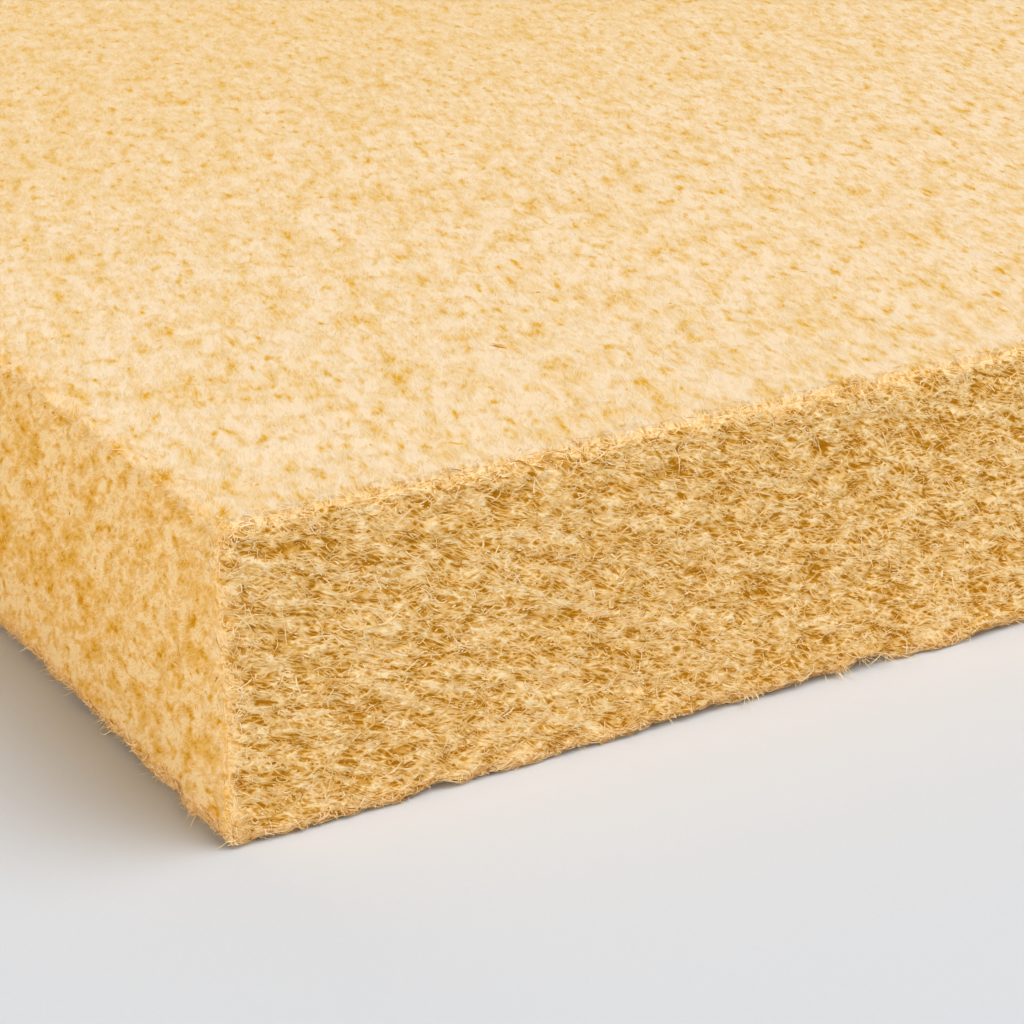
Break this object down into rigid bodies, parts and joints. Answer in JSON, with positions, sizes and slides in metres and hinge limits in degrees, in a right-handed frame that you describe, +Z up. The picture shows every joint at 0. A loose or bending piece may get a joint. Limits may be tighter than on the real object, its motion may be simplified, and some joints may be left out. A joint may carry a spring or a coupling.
{
  "type": "wood-fibre insulation batt",
  "caption": "Flat rectangular slab of felted wood fibre with softened saw-cut edges, pressed between rafters or studs as thermal insulation.",
  "frame": {"origin": "middle of the underside, on the floor", "axes": "+X along the length, +Y across the width, +Z up through the thickness"},
  "size_m": [1.22, 0.575, 0.06],
  "materials": {
    "wood_fibre": "matte felted fibre, pale on the faces and coarser on the saw cuts"
  },
  "bodies": {
    "root": {"batt": "wood_fibre"}
  },
  "joints": []
}
